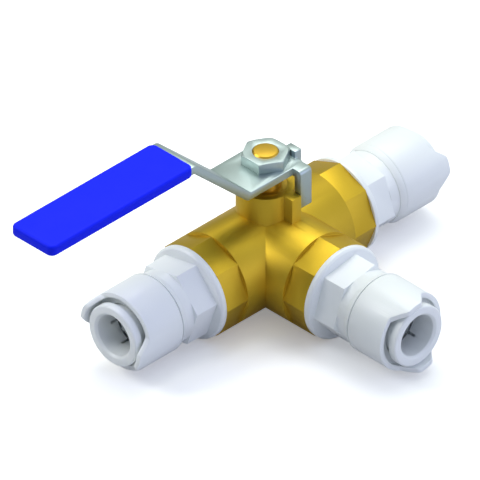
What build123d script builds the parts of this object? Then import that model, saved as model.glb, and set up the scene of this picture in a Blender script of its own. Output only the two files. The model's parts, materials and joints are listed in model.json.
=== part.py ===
"""Three-way shut-off valve with a lever and three push-fit pipe ends, in millimetres.

+Z is up along the stem, the run ports face -X and +X and the branch port faces -Y.
The origin is in the middle of the whole valve's outline, on the flat under its body.
"""
import os
from math import sqrt

from build123d import *

# Brass body: two barrels of one radius, their ends milled to octagons
barrel_radius = 17.2
base_flat_depth = 0.2
face_distance = 35.1
collar_length = 9.8
boss_radius = 10.0
boss_top = 26.7
stop_width = 4.25
stop_shift = 0.85
stop_reach = 13.9

# Ball, the four seats round it and the rings that hold three of them
ball_radius = 12.0
ball_bore_radius = 5.8
chamber_radius = 12.3
port_bore_radius = 13.2
seat_bore_radius = 6.6
seat_radius = 9.0
seat_start = 9.3
seat_end = 14.4
retainer_nose_start = 11.4
retainer_nose_radius = 11.0
retainer_step = 13.4
retainer_end = 18.5
retainer_slot_width = 3.0
retainer_slot_depth = 1.6

# Stem, from the tang in the ball to the threaded end
stem_radius = 5.2
stem_collar_bottom = 13.4
stem_collar_length = 2.0
tang_width = 4.2
tang_reach = 6.2
tang_bottom = 8.8
washer_length = 0.8
packing_radius = 7.4
packing_length = 5.0
gland_recess = 0.1
gland_slot_width = 2.0
gland_slot_depth = 1.6
thread_radius = 4.5
thread_top = 40.0
thread_chamfer = 0.5

# Lever: one steel strip, cranked up from the hub to the handle
strip_thickness = 3.0
strip_width = 19.0
hub_bottom = 32.7
hub_front = 8.8
hub_corner_radius = 1.5
crank_start = 17.2
crank_end = 42.4
bend_radius = 2.2
handle_bottom = 56.4
handle_narrowing = 1.0
handle_corner_radius = 3.0
stop_tab_width = 5.2
stop_tab_reach = 13.4
stop_tab_bottom = 21.1
lock_tab_width = 5.0
lock_tab_shift = 3.65
lock_tab_overhang = 2.0
lock_tab_rise = 2.6
tab_bend_radius = 1.5

# Blue grip and the hexagon nut
grip_start = 43.3
grip_end = 110.7
grip_width = 20.0
grip_thickness = 4.2
grip_end_wall = 1.2
grip_edge_radius = 1.1
grip_corner_radius = 2.6
nut_across_flats = 14.7
nut_height = 3.9
nut_chamfer = 0.9

# White adapter screwed into each port, by distance from the crossing
adapter_start = 20.0
flange_radius = 16.9
flange_length = 2.2
flange_edge = 0.7
hexagon_across_flats = 25.6
hexagon_length = 9.3
hexagon_core_radius = 11.5
neck_radius = 13.0
neck_length = 3.9
shoulder_back_radius = 13.3
shoulder_length = 2.1
housing_radius = 12.0
housing_end = 57.0
inlet_radius = 9.0
inlet_end = 34.0
taper_length = 4.0
water_bore_radius = 6.4
pipe_stop = 42.0
pipe_bore_radius = 7.6
seal_chamber_radius = 9.6
seal_chamber_start = 52.0
o_ring_section = 2.1
spacer_length = 2.5
face_seal_thickness = 0.8
face_seal_bore_radius = 13.6
face_seal_radius = 15.3

# Cap, with two guard lugs that rise past its rim on either side of the collet
cap_radius = 14.3
cap_rim = 68.3
cap_edge = 0.45
cap_recess_radius = 12.4
cap_recess_depth = 2.0
cap_mouth_radius = 9.5
cap_mouth_length = 1.2
cap_cone_length = 3.4
cap_cavity_radius = 10.7
lug_top = 73.2
lug_base_half_width = 7.6
lug_tip_half_width = 3.0
lug_tip_radius = 2.0

# Collet, with slit fingers and a steel ring of teeth near its inner end
collet_face = 72.2
collet_radius = 9.0
collet_flange_radius = 11.2
collet_flange_length = 2.9
collet_flange_edge = 0.4
collet_mouth_chamfer = 0.8
collet_inner_end = 60.5
barb_radius = 10.2
barb_length = 0.9
barb_slope_length = 1.2
finger_slits = 6
finger_slit_width = 1.0
finger_slit_length = 5.0
tooth_ring_start = 61.6
tooth_ring_thickness = 0.8
tooth_ring_radius = 8.4
tooth_ring_bore_radius = 7.5
tooth_count = 12
tooth_gap_width = 1.2
tooth_depth = 0.5

# Clearances
seat_clearance = 0.06
running_clearance = 0.05
fixed_clearance = 0.05
stop_clearance = 0.25
tang_clearance = 0.3

# Each port's direction, and the turn of its screwed-in end about its own axis
port_directions = {"left": (-1, 0, 0), "right": (1, 0, 0), "branch": (0, -1, 0)}
port_turns = {"left": 72.0, "right": 72.0, "branch": 11.0}
hexagon_turn = 29.3
seat_directions = {**port_directions, "rear": (0, 1, 0)}
upright = (0, 0, 1)

# Places worked out from the sizes above
axis_height = barrel_radius - base_flat_depth
crossing = Vector((grip_end - lug_top) / 2, (lug_top - barrel_radius) / 2, axis_height)
collar_start = face_distance - collar_length
stop_near_face = stop_shift + stop_width / 2
stop_far_face = stop_near_face + stop_tab_width + 2 * stop_clearance
collar_foot = stem_collar_bottom + running_clearance
collar_top = collar_foot + stem_collar_length
washer_start = collar_top + running_clearance
packing_start = washer_start + washer_length
packing_end = packing_start + packing_length
gland_top = boss_top - gland_recess
hub_top = hub_bottom + strip_thickness
handle_middle = handle_bottom + strip_thickness / 2
handle_end = grip_end - grip_end_wall
flange_end = face_distance + flange_length
hexagon_end = flange_end + hexagon_length
neck_end = hexagon_end + neck_length
shoulder_end = neck_end + shoulder_length
cap_start = shoulder_end + fixed_clearance
cavity_start = housing_end + fixed_clearance
recess_bottom = cap_rim - cap_recess_depth
mouth_start = recess_bottom - cap_mouth_length
cone_start = mouth_start - cap_cone_length
spacer_end = housing_end - fixed_clearance
spacer_start = spacer_end - spacer_length
o_ring_middle = (seal_chamber_start + spacer_start) / 2
o_ring_radius = seal_chamber_radius - fixed_clearance - o_ring_section / 2
collet_flange_start = collet_face - collet_flange_length

os.makedirs("parts", exist_ok=True)


def save(piece, name):
    """Label a finished piece and write it to its own file."""
    piece.part.label = name
    export_step(piece.part, f"parts/{name}.step")


def radius_direction(direction):
    """The direction that radii are measured from: up, or +X for what stands upright."""
    return Vector(1, 0, 0) if direction == upright else Vector(0, 0, 1)


def lathe_plane(direction):
    """A plane through the crossing, its first axis a radius and its second along direction."""
    radius = radius_direction(direction)
    return Plane(origin=crossing, x_dir=radius, z_dir=radius.cross(Vector(*direction)))


def cross_plane(direction, distance, turn=0.0):
    """A plane square to direction, distance out from the crossing, turned about direction."""
    along = Vector(*direction)
    radius = radius_direction(direction).rotate(Axis((0, 0, 0), along), turn)
    return Plane(origin=crossing + along * distance, x_dir=radius, z_dir=along)


def port_axis(direction):
    """The line through the crossing along direction."""
    return Axis(crossing, Vector(*direction))


def turned(direction, outline):
    """A turned piece: (radius, distance) points joined up and revolved about direction."""
    with BuildPart() as piece:
        with BuildSketch(lathe_plane(direction)):
            with BuildLine():
                Polyline(*outline, close=True)
            make_face()
        revolve(axis=port_axis(direction))
    return piece


def ring(direction, bore, radius, start, end):
    """A plain turned ring between two distances."""
    return turned(direction, [(bore, start), (radius, start), (radius, end), (bore, end)])


# The brass body is a forging, bored from its three ends and down through the stem boss
with BuildPart() as valve_body:
    for direction in port_directions.values():
        with BuildSketch(cross_plane(direction, 0)):
            Circle(barrel_radius)
        extrude(amount=face_distance)
    with BuildSketch(cross_plane(upright, 0)):
        Circle(boss_radius)
        with Locations((stop_shift, -stop_reach / 2)):
            Rectangle(stop_width, stop_reach)
        with Locations((stop_reach / 2, stop_far_face + stop_width / 2)):
            Rectangle(stop_reach, stop_width)
    extrude(amount=boss_top)
    for direction in port_directions.values():
        with BuildSketch(cross_plane(direction, collar_start)):
            Circle(2 * barrel_radius)
            RegularPolygon(barrel_radius, 8, mode=Mode.SUBTRACT)
        extrude(amount=collar_length, mode=Mode.SUBTRACT)
    for direction in port_directions.values():
        with BuildSketch(cross_plane(direction, 0)):
            Circle(chamber_radius)
        extrude(amount=retainer_step, mode=Mode.SUBTRACT)
        with BuildSketch(cross_plane(direction, retainer_step)):
            Circle(port_bore_radius)
        extrude(amount=face_distance - retainer_step, mode=Mode.SUBTRACT)
    with BuildSketch(cross_plane(seat_directions["rear"], 0)):
        Circle(seat_radius)
    extrude(amount=seat_end, mode=Mode.SUBTRACT)
    with BuildSketch(cross_plane(upright, 0)):
        Circle(tang_reach + tang_clearance)
    extrude(amount=stem_collar_bottom, mode=Mode.SUBTRACT)
    with BuildSketch(cross_plane(upright, stem_collar_bottom)):
        Circle(packing_radius)
    extrude(amount=boss_top - stem_collar_bottom, mode=Mode.SUBTRACT)
    with BuildSketch(cross_plane(upright, -axis_height)):
        Rectangle(3 * face_distance, 3 * face_distance)
    extrude(amount=-barrel_radius, mode=Mode.SUBTRACT)
save(valve_body, "valve_body")

# The ball is bored from two sides that meet in an elbow, and slotted on top for the stem
with BuildPart() as ball:
    with Locations(crossing):
        Sphere(ball_radius)
        Sphere(ball_bore_radius, mode=Mode.SUBTRACT)
    for side in ("left", "branch"):
        with BuildSketch(cross_plane(port_directions[side], 0)):
            Circle(ball_bore_radius)
        extrude(amount=ball_radius, mode=Mode.SUBTRACT)
    with BuildSketch(cross_plane(upright, tang_bottom - fixed_clearance)):
        Rectangle(3 * ball_radius, tang_width + 2 * fixed_clearance)
    extrude(amount=ball_radius, mode=Mode.SUBTRACT)
save(ball, "ball")

# Four white seats, hollowed to the ball; the rear one sits in the body's own pocket
hollow_radius = ball_radius + seat_clearance
hollow_bore = Vector(seat_bore_radius, sqrt(hollow_radius**2 - seat_bore_radius**2))
hollow_edge = Vector(sqrt(hollow_radius**2 - seat_start**2), seat_start)
hollow_middle = (hollow_bore + hollow_edge).normalized() * hollow_radius
for side, direction in seat_directions.items():
    with BuildPart() as seat:
        with BuildSketch(lathe_plane(direction)):
            with BuildLine():
                ThreePointArc(hollow_bore, hollow_middle, hollow_edge)
                Polyline(
                    hollow_edge,
                    (seat_radius, seat_start),
                    (seat_radius, seat_end),
                    (seat_bore_radius, seat_end),
                    hollow_bore,
                )
            make_face()
        revolve(axis=port_axis(direction))
    save(seat, f"seat_{side}")

# Brass rings screwed into the ports hold the seats, with a slot across for the fitting tool
for side, direction in port_directions.items():
    with BuildPart() as retainer:
        with BuildSketch(lathe_plane(direction)):
            with BuildLine():
                Polyline(
                    (seat_bore_radius, seat_end),
                    (seat_radius, seat_end),
                    (seat_radius, retainer_nose_start),
                    (retainer_nose_radius, retainer_nose_start),
                    (retainer_nose_radius, retainer_step),
                    (port_bore_radius - fixed_clearance, retainer_step),
                    (port_bore_radius - fixed_clearance, retainer_end),
                    (seat_bore_radius, retainer_end),
                    close=True,
                )
            make_face()
        revolve(axis=port_axis(direction))
        with BuildSketch(cross_plane(direction, retainer_end)):
            Rectangle(retainer_slot_width, 3 * port_bore_radius)
        extrude(amount=-retainer_slot_depth, mode=Mode.SUBTRACT)
    save(retainer, f"seat_retainer_{side}")

# The stem stands on a step in the body, its tang in the ball, its top end threaded
with BuildPart() as stem:
    with BuildSketch(lathe_plane(upright)):
        with BuildLine():
            Polyline(
                (0, collar_foot),
                (packing_radius - running_clearance, collar_foot),
                (packing_radius - running_clearance, collar_top),
                (stem_radius, collar_top),
                (stem_radius, hub_top),
                (thread_radius, hub_top),
                (thread_radius, thread_top - thread_chamfer),
                (thread_radius - thread_chamfer, thread_top),
                (0, thread_top),
                close=True,
            )
        make_face()
    revolve(axis=port_axis(upright))
    with BuildSketch(cross_plane(upright, hub_bottom)):
        Circle(2 * stem_radius)
        Rectangle(2 * thread_radius, 4 * stem_radius, mode=Mode.SUBTRACT)
    extrude(amount=strip_thickness, mode=Mode.SUBTRACT)
    with BuildSketch(cross_plane(upright, tang_bottom)):
        Circle(tang_reach)
        Rectangle(3 * tang_reach, tang_width, mode=Mode.INTERSECT)
    extrude(amount=collar_top - tang_bottom)
save(stem, "stem")

# Washer and packing round the stem, pressed down by the slotted gland screw
stem_bore_radius = stem_radius + running_clearance
packing_outer_radius = packing_radius - fixed_clearance
thrust_washer = ring(upright, stem_bore_radius, packing_outer_radius, washer_start, packing_start)
save(thrust_washer, "thrust_washer")
stem_packing = ring(upright, stem_bore_radius, packing_outer_radius, packing_start, packing_end)
save(stem_packing, "stem_packing")
with BuildPart() as gland_screw:
    with BuildSketch(cross_plane(upright, packing_end)):
        Circle(packing_outer_radius)
        Circle(stem_bore_radius, mode=Mode.SUBTRACT)
    extrude(amount=gland_top - packing_end)
    with BuildSketch(cross_plane(upright, gland_top)):
        Rectangle(3 * packing_radius, gland_slot_width)
    extrude(amount=-gland_slot_depth, mode=Mode.SUBTRACT)
save(gland_screw, "gland_screw")

# The lever is blanked and bent from one strip, with a stop tab down and a lock tab up
tab_root = strip_width / 2 - strip_thickness
tab_middle = stop_near_face + stop_clearance + stop_tab_width / 2
with BuildPart() as lever:
    with BuildSketch(Plane(origin=crossing, x_dir=(1, 0, 0), z_dir=(0, -1, 0))):
        with BuildLine():
            FilletPolyline(
                (hub_front, hub_bottom + strip_thickness / 2),
                (-crank_start, hub_bottom + strip_thickness / 2),
                (-crank_end, handle_middle),
                (-handle_end, handle_middle),
                radius=bend_radius,
            )
        trace(line_width=strip_thickness)
    extrude(amount=strip_width / 2, both=True)
    fillet(lever.edges().filter_by(Axis.Z).group_by(Axis.X)[-1], radius=hub_corner_radius)
    narrow_start = grip_start + grip_end_wall
    with BuildSketch(cross_plane(upright, handle_bottom)):
        with Locations((-(narrow_start + handle_end) / 2, 0)):
            Rectangle(handle_end - narrow_start, 2 * strip_width)
            Rectangle(handle_end - narrow_start, strip_width - 2 * handle_narrowing, mode=Mode.SUBTRACT)
    extrude(amount=strip_thickness, mode=Mode.SUBTRACT)
    fillet(lever.edges().filter_by(Axis.Z).group_by(Axis.X)[0], radius=handle_corner_radius)
    with BuildSketch(cross_plane(upright, hub_bottom)):
        with Locations((tab_middle, -(tab_root + stop_tab_reach) / 2)):
            Rectangle(stop_tab_width, stop_tab_reach - tab_root)
        with Locations((hub_front + lock_tab_overhang - strip_thickness, -lock_tab_shift)):
            Rectangle(2 * strip_thickness, lock_tab_width)
    extrude(amount=strip_thickness)
    with BuildSketch(cross_plane(upright, stop_tab_bottom)):
        with Locations((tab_middle, strip_thickness / 2 - stop_tab_reach)):
            Rectangle(stop_tab_width, strip_thickness)
    extrude(amount=hub_top - stop_tab_bottom)
    with BuildSketch(cross_plane(upright, hub_bottom)):
        with Locations((hub_front + lock_tab_overhang - strip_thickness / 2, -lock_tab_shift)):
            Rectangle(strip_thickness, lock_tab_width)
    extrude(amount=strip_thickness + lock_tab_rise)
    fillet(lever.edges().filter_by(Axis.X).group_by(Axis.Y)[0].sort_by(Axis.Z)[-1], radius=tab_bend_radius)
    fillet(lever.edges().filter_by(Axis.Y).group_by(Axis.X)[-1].sort_by(Axis.Z)[0], radius=tab_bend_radius)
    with BuildSketch(cross_plane(upright, hub_bottom)):
        Circle(stem_radius + fixed_clearance)
        Rectangle(2 * (thread_radius + fixed_clearance), 4 * stem_radius, mode=Mode.INTERSECT)
    extrude(amount=strip_thickness, mode=Mode.SUBTRACT)
save(lever, "lever")

# The grip is a soft sleeve moulded round the flat end of the lever
with BuildPart() as lever_grip:
    with BuildSketch(cross_plane(upright, handle_middle - grip_thickness / 2)):
        with Locations((-(grip_start + grip_end) / 2, 0)):
            RectangleRounded(grip_end - grip_start, grip_width, grip_corner_radius)
    extrude(amount=grip_thickness)
    fillet(lever_grip.faces().filter_by(Axis.Z).edges(), radius=grip_edge_radius)
    add(lever.part, mode=Mode.SUBTRACT)
save(lever_grip, "lever_grip")

# The nut is screwed onto the stem and clamps the lever, its upper corners turned off
with BuildPart() as lever_nut:
    with BuildSketch(cross_plane(upright, hub_top)):
        RegularPolygon(nut_across_flats / sqrt(3), 6, rotation=30)
        Circle(thread_radius + fixed_clearance, mode=Mode.SUBTRACT)
    extrude(amount=nut_height)
    with BuildSketch(lathe_plane(upright)):
        with BuildLine():
            Polyline(
                (0, hub_top),
                (nut_across_flats / sqrt(3), hub_top),
                (nut_across_flats / sqrt(3), hub_top + nut_height - nut_chamfer / 2),
                (nut_across_flats / sqrt(3) - nut_chamfer, hub_top + nut_height),
                (0, hub_top + nut_height),
                close=True,
            )
        make_face()
    revolve(axis=port_axis(upright), mode=Mode.INTERSECT)
save(lever_nut, "lever_nut")

# Each port takes the same push-fit end: adapter, seals, spacer, cap, collet and teeth
for side, direction in port_directions.items():
    turn = port_turns[side]

    # The adapter is one moulding: thread, flange, hexagon, shoulder and the pipe's socket
    with BuildPart() as adapter:
        with BuildSketch(lathe_plane(direction)):
            with BuildLine():
                Polyline(
                    (inlet_radius, adapter_start),
                    (port_bore_radius - fixed_clearance, adapter_start),
                    (port_bore_radius - fixed_clearance, face_distance),
                    (face_seal_bore_radius, face_distance),
                    (face_seal_bore_radius, face_distance + face_seal_thickness),
                    (face_seal_radius, face_distance + face_seal_thickness),
                    (face_seal_radius, face_distance),
                    (flange_radius, face_distance),
                    (flange_radius, flange_end - flange_edge),
                    (flange_radius - flange_edge, flange_end),
                    (hexagon_core_radius, flange_end),
                    (hexagon_core_radius, hexagon_end),
                    (neck_radius, hexagon_end),
                    (neck_radius, neck_end),
                    (shoulder_back_radius, neck_end),
                    (cap_radius, shoulder_end),
                    (housing_radius, shoulder_end),
                    (housing_radius, housing_end),
                    (seal_chamber_radius, housing_end),
                    (seal_chamber_radius, seal_chamber_start),
                    (pipe_bore_radius, seal_chamber_start),
                    (pipe_bore_radius, pipe_stop),
                    (water_bore_radius, pipe_stop),
                    (water_bore_radius, inlet_end + taper_length),
                    (inlet_radius, inlet_end),
                    close=True,
                )
            make_face()
        revolve(axis=port_axis(direction))
        with BuildSketch(cross_plane(direction, flange_end, turn + hexagon_turn)):
            RegularPolygon(hexagon_across_flats / sqrt(3), 6)
            Circle(hexagon_core_radius - face_seal_thickness, mode=Mode.SUBTRACT)
        extrude(amount=hexagon_length)
    save(adapter, f"adapter_{side}")

    # A flat ring under the flange seals the screwed joint, a round one seals the pipe
    seal_end = face_distance + face_seal_thickness
    face_seal = ring(direction, face_seal_bore_radius, face_seal_radius, face_distance, seal_end)
    save(face_seal, f"face_seal_{side}")
    with BuildPart() as o_ring:
        with BuildSketch(lathe_plane(direction)):
            with Locations((o_ring_radius, o_ring_middle)):
                Circle(o_ring_section / 2)
        revolve(axis=port_axis(direction))
    save(o_ring, f"o_ring_{side}")
    spacer_radius = seal_chamber_radius - fixed_clearance
    spacer_ring = ring(direction, pipe_bore_radius, spacer_radius, spacer_start, spacer_end)
    save(spacer_ring, f"spacer_ring_{side}")

    # The cap is pressed onto the adapter, its mouth narrowing to hold the collet's barb
    with BuildPart() as end_cap:
        with BuildSketch(cross_plane(direction, recess_bottom)):
            Circle(cap_radius)
            Circle(cap_recess_radius, mode=Mode.SUBTRACT)
        extrude(amount=lug_top - recess_bottom)
        across = cross_plane(direction, 0, turn)
        with BuildSketch(Plane(origin=crossing, x_dir=across.y_dir, z_dir=across.x_dir)) as lug_outline:
            with BuildLine():
                Polyline(
                    (-lug_base_half_width, recess_bottom),
                    (-lug_base_half_width, cap_rim),
                    (-lug_tip_half_width, lug_top),
                    (lug_tip_half_width, lug_top),
                    (lug_base_half_width, cap_rim),
                    (lug_base_half_width, recess_bottom),
                    close=True,
                )
            make_face()
            fillet(lug_outline.vertices().group_by(Axis.Y)[-1], radius=lug_tip_radius)
        extrude(amount=2 * cap_radius, both=True, mode=Mode.INTERSECT)
        with BuildSketch(lathe_plane(direction)):
            with BuildLine():
                Polyline(
                    (housing_radius + fixed_clearance, cap_start),
                    (cap_radius - cap_edge, cap_start),
                    (cap_radius, cap_start + cap_edge),
                    (cap_radius, cap_rim),
                    (cap_recess_radius, cap_rim),
                    (cap_recess_radius, recess_bottom),
                    (cap_mouth_radius, recess_bottom),
                    (cap_mouth_radius, mouth_start),
                    (cap_cavity_radius, cone_start),
                    (cap_cavity_radius, cavity_start),
                    (housing_radius + fixed_clearance, cavity_start),
                    close=True,
                )
            make_face()
        revolve(axis=port_axis(direction))
    save(end_cap, f"end_cap_{side}")

    # The collet's slit fingers end in a barb; pushing its flange inward frees the pipe
    tooth_ring_end = tooth_ring_start + tooth_ring_thickness
    with BuildPart() as collet:
        with BuildSketch(lathe_plane(direction)):
            with BuildLine():
                Polyline(
                    (pipe_bore_radius, collet_inner_end),
                    (barb_radius, collet_inner_end),
                    (barb_radius, collet_inner_end + barb_length),
                    (collet_radius, collet_inner_end + barb_length + barb_slope_length),
                    (collet_radius, collet_flange_start),
                    (collet_flange_radius, collet_flange_start),
                    (collet_flange_radius, collet_face - collet_flange_edge),
                    (collet_flange_radius - collet_flange_edge, collet_face),
                    (pipe_bore_radius + collet_mouth_chamfer, collet_face),
                    (pipe_bore_radius, collet_face - collet_mouth_chamfer),
                    (pipe_bore_radius, tooth_ring_end),
                    (tooth_ring_radius, tooth_ring_end),
                    (tooth_ring_radius, tooth_ring_start),
                    (pipe_bore_radius, tooth_ring_start),
                    close=True,
                )
            make_face()
        revolve(axis=port_axis(direction))
        with BuildSketch(cross_plane(direction, collet_inner_end, turn)):
            with PolarLocations(0, finger_slits // 2, start_angle=90, angular_range=180):
                Rectangle(3 * barb_radius, finger_slit_width)
        extrude(amount=finger_slit_length, mode=Mode.SUBTRACT)
    save(collet, f"collet_{side}")
    with BuildPart() as collet_teeth:
        with BuildSketch(cross_plane(direction, tooth_ring_start, turn)):
            Circle(tooth_ring_radius)
            Circle(tooth_ring_bore_radius, mode=Mode.SUBTRACT)
            with PolarLocations(tooth_ring_bore_radius, tooth_count):
                Rectangle(2 * tooth_depth, tooth_gap_width, mode=Mode.SUBTRACT)
        extrude(amount=tooth_ring_thickness)
    save(collet_teeth, f"collet_teeth_{side}")
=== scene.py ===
"""Three-way shut-off valve: brass body, steel lever with a blue grip, three white push-fit ends."""
import json
from math import radians

import bmesh
import bpy
from mathutils import Matrix, Vector


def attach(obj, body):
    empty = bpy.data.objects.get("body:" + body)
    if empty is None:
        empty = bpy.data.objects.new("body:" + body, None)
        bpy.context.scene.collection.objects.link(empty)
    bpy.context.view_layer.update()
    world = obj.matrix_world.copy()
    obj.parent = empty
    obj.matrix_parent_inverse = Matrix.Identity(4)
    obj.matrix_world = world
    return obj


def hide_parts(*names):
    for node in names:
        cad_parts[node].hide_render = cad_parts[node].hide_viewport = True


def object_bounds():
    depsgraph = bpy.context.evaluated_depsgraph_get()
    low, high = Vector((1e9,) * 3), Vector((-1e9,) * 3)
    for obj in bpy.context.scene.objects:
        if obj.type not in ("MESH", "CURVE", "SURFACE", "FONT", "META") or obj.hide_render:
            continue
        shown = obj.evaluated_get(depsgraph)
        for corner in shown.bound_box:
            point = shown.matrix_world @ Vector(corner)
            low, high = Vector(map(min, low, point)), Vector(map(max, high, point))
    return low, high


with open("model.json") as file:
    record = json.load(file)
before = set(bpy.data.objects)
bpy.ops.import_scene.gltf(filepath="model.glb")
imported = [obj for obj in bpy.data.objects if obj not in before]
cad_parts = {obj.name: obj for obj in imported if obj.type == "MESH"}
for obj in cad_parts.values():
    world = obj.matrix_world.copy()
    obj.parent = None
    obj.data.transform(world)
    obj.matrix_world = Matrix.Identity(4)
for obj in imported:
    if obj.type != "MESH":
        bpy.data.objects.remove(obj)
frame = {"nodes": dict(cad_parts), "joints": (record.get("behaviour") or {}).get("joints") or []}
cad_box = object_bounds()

# The camera looks down at the corner between the left port and the branch, with no perspective.
# It is set by the point where the port axes cross, which is also where the lever turns.
mm = 0.001
lever_joint = next(joint for joint in frame["joints"] if joint["name"] == "lever_turn")
crossing = Vector(lever_joint["pos_m"])
camera_right = Vector((1, -1, 0)).normalized()
camera_back = Vector((-1, -1, 1)).normalized()
camera_up = camera_back.cross(camera_right)
camera_distance = 600 * mm
picture_width = 160 * mm
shift_left = 8.5 * mm
shift_up = 2.67 * mm
camera_target = crossing - camera_right * shift_left + camera_up * shift_up

scene = bpy.context.scene
scene.view_settings.view_transform = "Standard"
camera = bpy.data.objects.new("camera", bpy.data.cameras.new("camera"))
scene.collection.objects.link(camera)
scene.camera = camera
camera.data.type = "ORTHO"
camera.data.ortho_scale = picture_width
camera.data.clip_end = 10
turn_to_view = Matrix((camera_right, camera_up, camera_back)).transposed().to_4x4()
camera_place = Matrix.Translation(camera_target + camera_back * camera_distance)
camera.matrix_world = camera_place @ turn_to_view


# The floor is a plain pale sheet just under the valve. It takes the soft shadow, and the camera
# sees it as white, with a little glow of its own.
def from_hex(text):
    """An sRGB hex colour as the linear values that a shader takes."""
    channels = [int(text[i : i + 2], 16) / 255 for i in (1, 3, 5)]
    linear = [c / 12.92 if c <= 0.04045 else ((c + 0.055) / 1.055) ** 2.4 for c in channels]
    return (*linear, 1.0)


def add_node(tree, kind, links=(), **settings):
    """Add a shader node, set its sockets and properties, and link what feeds it."""
    node = tree.nodes.new(kind)
    for name, value in settings.items():
        if hasattr(node, name):
            setattr(node, name, value)
        else:
            node.inputs[name.replace("_", " ")].default_value = value
    for socket, source in links:
        tree.links.new(source, node.inputs[socket])
    return node


def new_material(name, **shader):
    """A material with one principled shader; returns the material, its nodes, shader and output."""
    material = bpy.data.materials.new(name)
    material.use_nodes = True
    tree = material.node_tree
    tree.nodes.clear()
    surface = add_node(tree, "ShaderNodeBsdfPrincipled", **shader)
    output = add_node(tree, "ShaderNodeOutputMaterial", links=[("Surface", surface.outputs[0])])
    return material, tree, surface, output


floor_size = 6.0
floor_drop = 0.02 * mm
floor_maker = bmesh.new()
bmesh.ops.create_grid(floor_maker, x_segments=1, y_segments=1, size=floor_size / 2)
floor_level = cad_box[0][2] - floor_drop
bmesh.ops.translate(floor_maker, verts=floor_maker.verts, vec=(0, 0, floor_level))
floor_mesh = bpy.data.meshes.new("floor")
floor_maker.to_mesh(floor_mesh)
floor_maker.free()
floor = bpy.data.objects.new("floor", floor_mesh)
scene.collection.objects.link(floor)

# Pale matt paper: it throws a soft neutral light back up and has no gloss at all.
white = (1.0, 1.0, 1.0, 1.0)
pale_paper, floor_tree, floor_shader, floor_output = new_material(
    "pale_paper", Base_Color=from_hex("#c8c8cc"), Roughness=0.9, Specular_IOR_Level=0.0
)
floor_path = add_node(floor_tree, "ShaderNodeLightPath")
floor_view = add_node(floor_tree, "ShaderNodeBsdfDiffuse", Color=white)
floor_glow = add_node(floor_tree, "ShaderNodeEmission", Color=white, Strength=0.25)
floor_seen = add_node(
    floor_tree,
    "ShaderNodeAddShader",
    links=[(0, floor_view.outputs[0]), (1, floor_glow.outputs[0])],
)
floor_mix = add_node(
    floor_tree,
    "ShaderNodeMixShader",
    links=[
        ("Fac", floor_path.outputs["Is Camera Ray"]),
        (1, floor_shader.outputs[0]),
        (2, floor_seen.outputs[0]),
    ],
)
floor_tree.links.new(floor_mix.outputs[0], floor_output.inputs["Surface"])
floor_mesh.materials.append(pale_paper)

# The room is brightest overhead and to the right, and bluish in front of the valve, as in the
# photograph. The camera sees plain white in place of it.
brightest_way = (0.55, -0.45, 0.7)
front_way = (0.0, -1.0, 0.0)
room = bpy.data.worlds.new("room")
scene.world = room
room.use_nodes = True
room_tree = room.node_tree
room_tree.nodes.clear()
room_place = add_node(room_tree, "ShaderNodeTexCoord")
room_height = add_node(
    room_tree,
    "ShaderNodeVectorMath",
    links=[(0, room_place.outputs["Generated"])],
    operation="DOT_PRODUCT",
)
room_height.inputs[1].default_value = brightest_way
room_level = add_node(
    room_tree,
    "ShaderNodeMapRange",
    links=[("Value", room_height.outputs["Value"])],
    From_Min=-0.5,
    From_Max=1.0,
    To_Min=0.1,
    To_Max=0.85,
)
room_front = add_node(
    room_tree,
    "ShaderNodeVectorMath",
    links=[(0, room_place.outputs["Generated"])],
    operation="DOT_PRODUCT",
)
room_front.inputs[1].default_value = front_way
room_tint = add_node(
    room_tree,
    "ShaderNodeMix",
    links=[("Factor", room_front.outputs["Value"])],
    data_type="RGBA",
)
room_tint.inputs[6].default_value = from_hex("#f4fff6")
room_tint.inputs[7].default_value = from_hex("#c4ccff")
room_light = add_node(
    room_tree,
    "ShaderNodeBackground",
    links=[("Color", room_tint.outputs[2]), ("Strength", room_level.outputs[0])],
)
room_white = add_node(room_tree, "ShaderNodeBackground", Color=white, Strength=1.0)
room_path = add_node(room_tree, "ShaderNodeLightPath")
room_mix = add_node(
    room_tree,
    "ShaderNodeMixShader",
    links=[
        ("Fac", room_path.outputs["Is Camera Ray"]),
        (1, room_light.outputs[0]),
        (2, room_white.outputs[0]),
    ],
)
add_node(room_tree, "ShaderNodeOutputWorld", links=[("Surface", room_mix.outputs[0])])


# Three soft lamps light the valve: a key high on the camera's left that puts the shine along the
# branch, a wide one overhead, and a cool one in front of the branch that fills its dark faces.
def add_lamp(name, offset, size, power, colour=(1.0, 1.0, 1.0)):
    """A square soft lamp aimed at the crossing from an offset in metres."""
    lamp = bpy.data.objects.new(name, bpy.data.lights.new(name, "AREA"))
    scene.collection.objects.link(lamp)
    lamp.data.size = size
    lamp.data.energy = power
    lamp.data.color = colour
    lamp.location = crossing + Vector(offset)
    lamp.rotation_euler = Vector(offset).to_track_quat("Z", "Y").to_euler()


add_lamp("key_lamp", (-0.55, 0.55, 0.65), size=0.4, power=3.8)
add_lamp("overhead_lamp", (0.3, 0.25, 1.0), size=0.8, power=5.4)
add_lamp("front_lamp", (0.35, -1.0, 0.1), size=1.2, power=4.4, colour=(0.78, 0.80, 1.0))


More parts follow.
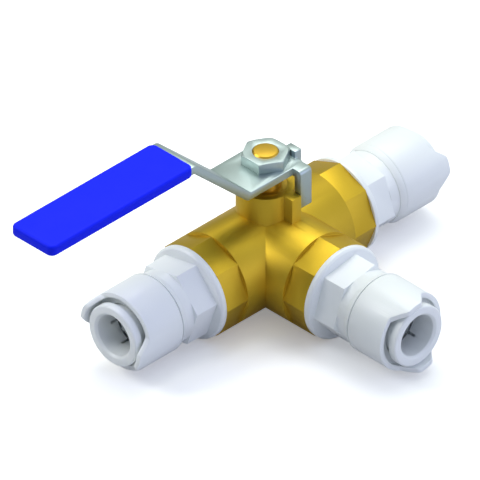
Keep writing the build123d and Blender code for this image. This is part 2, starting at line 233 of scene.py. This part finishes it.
# The body is a brass forging: three barrels with milled octagon ends, a boss for the stem and
# two stop blocks. It is bored and faced, then left bare, so it has a warm satin metal shine.
def finish_node(node, body, material, edge=0.0, sharp=30.0):
    """The node's solid with its edges rounded by a width in millimetres, in place of the node."""
    maker = bmesh.new()
    maker.from_mesh(frame["nodes"][node].data)
    bmesh.ops.remove_doubles(maker, verts=maker.verts, dist=0.001 * mm)
    bmesh.ops.dissolve_limit(maker, angle_limit=radians(0.5), verts=maker.verts, edges=maker.edges)
    bmesh.ops.remove_doubles(maker, verts=maker.verts, dist=0.002 * mm)
    bmesh.ops.recalc_face_normals(maker, faces=maker.faces)
    if edge:
        corners = [e for e in maker.edges if e.is_manifold and e.calc_face_angle() > radians(sharp)]
        bmesh.ops.bevel(
            maker,
            geom=corners,
            offset=edge * mm,
            offset_type="OFFSET",
            segments=2,
            profile=0.5,
            affect="EDGES",
            clamp_overlap=True,
            material=-1,
        )
    name = node + "_finished"
    mesh = bpy.data.meshes.new(name)
    maker.to_mesh(mesh)
    maker.free()
    mesh.shade_smooth()
    mesh.set_sharp_from_angle(angle=radians(32))
    mesh.materials.append(material)
    piece = bpy.data.objects.new(name, mesh)
    scene.collection.objects.link(piece)
    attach(piece, body)
    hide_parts(node)


def satin_metal(name, colour, shade, roughness, grain, streak=(1, 1, 1)):
    """A bare metal: fine grain in its gloss and relief, and slow patches in its colour."""
    patch_size = 14 * mm
    gloss_spread = 0.07
    material, tree, surface, _ = new_material(name, Metallic=1.0, Roughness=roughness)
    place = add_node(tree, "ShaderNodeTexCoord")
    stretched = add_node(
        tree, "ShaderNodeMapping", links=[("Vector", place.outputs["Object"])], Scale=streak
    )
    patches = add_node(
        tree,
        "ShaderNodeTexNoise",
        links=[("Vector", place.outputs["Object"])],
        Scale=1 / patch_size,
        Detail=3.0,
    )
    fine = add_node(
        tree,
        "ShaderNodeTexNoise",
        links=[("Vector", stretched.outputs[0])],
        Scale=1 / (grain * mm),
        Detail=4.0,
    )
    tint = add_node(
        tree, "ShaderNodeMix", links=[("Factor", patches.outputs["Fac"])], data_type="RGBA"
    )
    tint.inputs[6].default_value = from_hex(colour)
    tint.inputs[7].default_value = from_hex(shade)
    tree.links.new(tint.outputs[2], surface.inputs["Base Color"])
    gloss = add_node(
        tree,
        "ShaderNodeMapRange",
        links=[("Value", fine.outputs["Fac"])],
        To_Min=roughness - gloss_spread,
        To_Max=roughness + gloss_spread,
    )
    tree.links.new(gloss.outputs[0], surface.inputs["Roughness"])
    relief = add_node(
        tree,
        "ShaderNodeBump",
        links=[("Height", fine.outputs["Fac"])],
        Strength=0.25,
        Distance=0.03 * mm,
    )
    tree.links.new(relief.outputs[0], surface.inputs["Normal"])
    return material


# Brass as it leaves the forging die: a warm matt yellow, a little uneven in colour and gloss.
forged_brass = satin_metal("forged_brass", "#d8b73c", "#cdaa30", roughness=0.46, grain=0.7)
finish_node("valve_body", "valve", forged_brass, edge=0.2, sharp=28)


# The ball is brass, plated and polished, and bored to an elbow; it shows only down the pipes.
# Its seats, and the washer and packing round the stem, are a slippery white plastic.
def moulded_plastic(name, colour, roughness, grain, depth, **shader):
    """A moulded plastic: one colour, a faint skin of fine relief and slow change in gloss."""
    flow_size = 9 * mm
    gloss_spread = 0.06
    material, tree, surface, _ = new_material(
        name, Base_Color=from_hex(colour), Roughness=roughness, **shader
    )
    place = add_node(tree, "ShaderNodeTexCoord")
    skin = add_node(
        tree,
        "ShaderNodeTexNoise",
        links=[("Vector", place.outputs["Object"])],
        Scale=1 / (grain * mm),
        Detail=3.0,
    )
    flow = add_node(
        tree,
        "ShaderNodeTexNoise",
        links=[("Vector", place.outputs["Object"])],
        Scale=1 / flow_size,
        Detail=2.0,
    )
    gloss = add_node(
        tree,
        "ShaderNodeMapRange",
        links=[("Value", flow.outputs["Fac"])],
        To_Min=roughness - gloss_spread,
        To_Max=roughness + gloss_spread,
    )
    tree.links.new(gloss.outputs[0], surface.inputs["Roughness"])
    relief = add_node(
        tree,
        "ShaderNodeBump",
        links=[("Height", skin.outputs["Fac"])],
        Strength=0.2,
        Distance=depth * mm,
    )
    tree.links.new(relief.outputs[0], surface.inputs["Normal"])
    return material


# Polished chrome plate: a bright, nearly mirror surface that picks up the pipe's bore.
plated_chrome = satin_metal("plated_chrome", "#d6d8da", "#cfd1d4", roughness=0.12, grain=0.5)
# Turned seat plastic, such as PTFE: a waxy off-white with a dull, even sheen.
slippery_plastic = moulded_plastic(
    "slippery_white_plastic", "#e9e9e4", roughness=0.35, grain=0.4, depth=0.01
)
finish_node("ball", "handle", plated_chrome, edge=0.15)
ball_seats = ("seat_left", "seat_right", "seat_branch", "seat_rear")
stem_seals = ("thrust_washer", "stem_packing")
for node in ball_seats + stem_seals:
    finish_node(node, "valve", slippery_plastic)

# The seat rings, the gland screw and the stem are turned from brass bar, a little brighter than
# the forging. The rings and the screw are slotted for a forked key.
port_sides = ("left", "right", "branch")

# Brass off the lathe: the tool leaves a finer grain and a closer shine than the forging's.
turned_brass = satin_metal("turned_brass", "#dcb446", "#d0a638", roughness=0.36, grain=0.25)
for side in port_sides:
    finish_node("seat_retainer_" + side, "valve", turned_brass, edge=0.15)
finish_node("gland_screw", "valve", turned_brass, edge=0.12)
finish_node("stem", "handle", turned_brass, edge=0.15)

# The lever is steel strip, blanked, bent and zinc plated. One tab turns down to meet the stops
# and one turns up at the end. The press leaves its edges a little rounded.

# Zinc plate on rolled steel: a pale blue-green grey, dull, with a faint grain along the strip.
zinc_plate = satin_metal(
    "zinc_plated_steel", "#bccac8", "#b0bebc", roughness=0.42, grain=0.5, streak=(0.25, 1, 1)
)
finish_node("lever", "handle", zinc_plate, edge=0.3, sharp=35)
finish_node("lever_nut", "handle", zinc_plate, edge=0.2, sharp=25)

# The grip is a sleeve of soft vinyl. The flat end of the lever is dipped in it, and it takes on
# the strip's rounded outline.

# Dipped blue vinyl: a strong flat blue with a low waxy sheen and hardly any highlight.
blue_vinyl = moulded_plastic(
    "dipped_blue_vinyl",
    "#001cf4",
    roughness=0.55,
    grain=1.2,
    depth=0.03,
    Specular_IOR_Level=0.15,
)
finish_node("lever_grip", "handle", blue_vinyl)

# The adapters, caps, spacer rings and collets are moulded in white plastic. Adapters screw into
# the ports, each cap is pressed over its adapter's end, and the collet slides in the cap.

# White acetal from a polished mould: a soft gloss, and thin edges that let a little light in.
white_acetal = moulded_plastic(
    "white_acetal",
    "#f1f5f4",
    roughness=0.33,
    grain=0.5,
    depth=0.02,
    Subsurface_Weight=0.12,
    Subsurface_Radius=(1.0, 1.0, 1.0),
    Subsurface_Scale=1.5 * mm,
)
for side in port_sides:
    finish_node("adapter_" + side, "valve", white_acetal, edge=0.25)
    finish_node("end_cap_" + side, "valve", white_acetal, edge=0.25)
    finish_node("spacer_ring_" + side, "valve", white_acetal, edge=0.1)
    collet_body = f"collet_{side}_body"
    finish_node("collet_" + side, collet_body, white_acetal, edge=0.15)

# The seals are moulded rubber: a flat ring under each adapter's flange, squeezed as it is screwed
# in, and a round one that grips each pipe.

# Black seal rubber: dark and dull, with a soft skin that takes no sharp reflection.
seal_rubber = moulded_plastic("black_seal_rubber", "#1c1c1c", roughness=0.6, grain=0.4, depth=0.02)
for side in port_sides:
    finish_node("face_seal_" + side, "valve", seal_rubber)
    finish_node("o_ring_" + side, "valve", seal_rubber)

# The collet's teeth are a thin ring stamped from stainless steel. The collet is moulded round it,
# so the two slide together.

# Cold-rolled stainless: a bright cool grey that glints inside the bore.
bright_stainless = satin_metal("bright_stainless", "#c6c8ca", "#babcbf", roughness=0.25, grain=0.3)
for side in port_sides:
    collet_body = f"collet_{side}_body"
    finish_node("collet_teeth_" + side, collet_body, bright_stainless)
